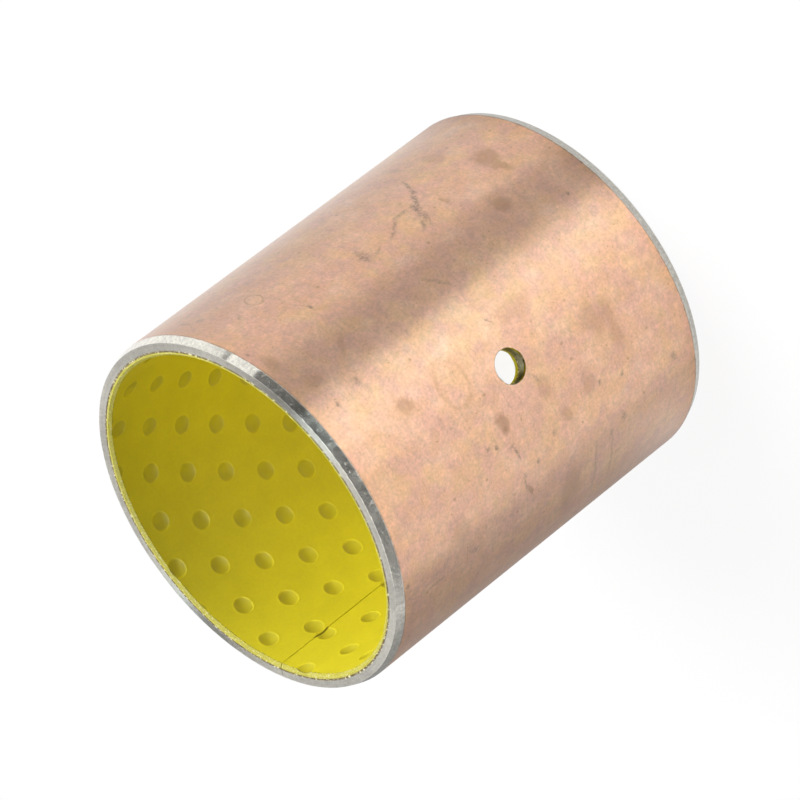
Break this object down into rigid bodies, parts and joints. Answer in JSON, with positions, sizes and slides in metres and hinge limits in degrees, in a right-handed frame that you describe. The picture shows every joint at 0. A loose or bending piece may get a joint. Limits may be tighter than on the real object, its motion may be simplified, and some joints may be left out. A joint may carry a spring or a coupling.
{
  "type": "wrapped plain bush",
  "caption": "Rolled steel-backed plain bush with a yellow acetal lining indented with grease pockets, a butt joint, chamfered ends and a radial oil hole.",
  "frame": {"origin": "centre of the lower end face, on the bush's axis", "axes": "+Z along the bore axis, from the lower end to the upper end; +X through the oil hole"},
  "size_m": [0.044, 0.044, 0.05],
  "materials": {
    "copper_plated_steel": "copper-plated outside, bare turned steel on the ends and chamfers",
    "sintered_bronze": "porous, grainy, seen only as a thin line at the ends",
    "yellow_acetal": "satin moulded plastic"
  },
  "bodies": {
    "root": {"steel_back": "copper_plated_steel", "bronze_interlayer": "sintered_bronze", "acetal_lining": "yellow_acetal"}
  },
  "joints": []
}
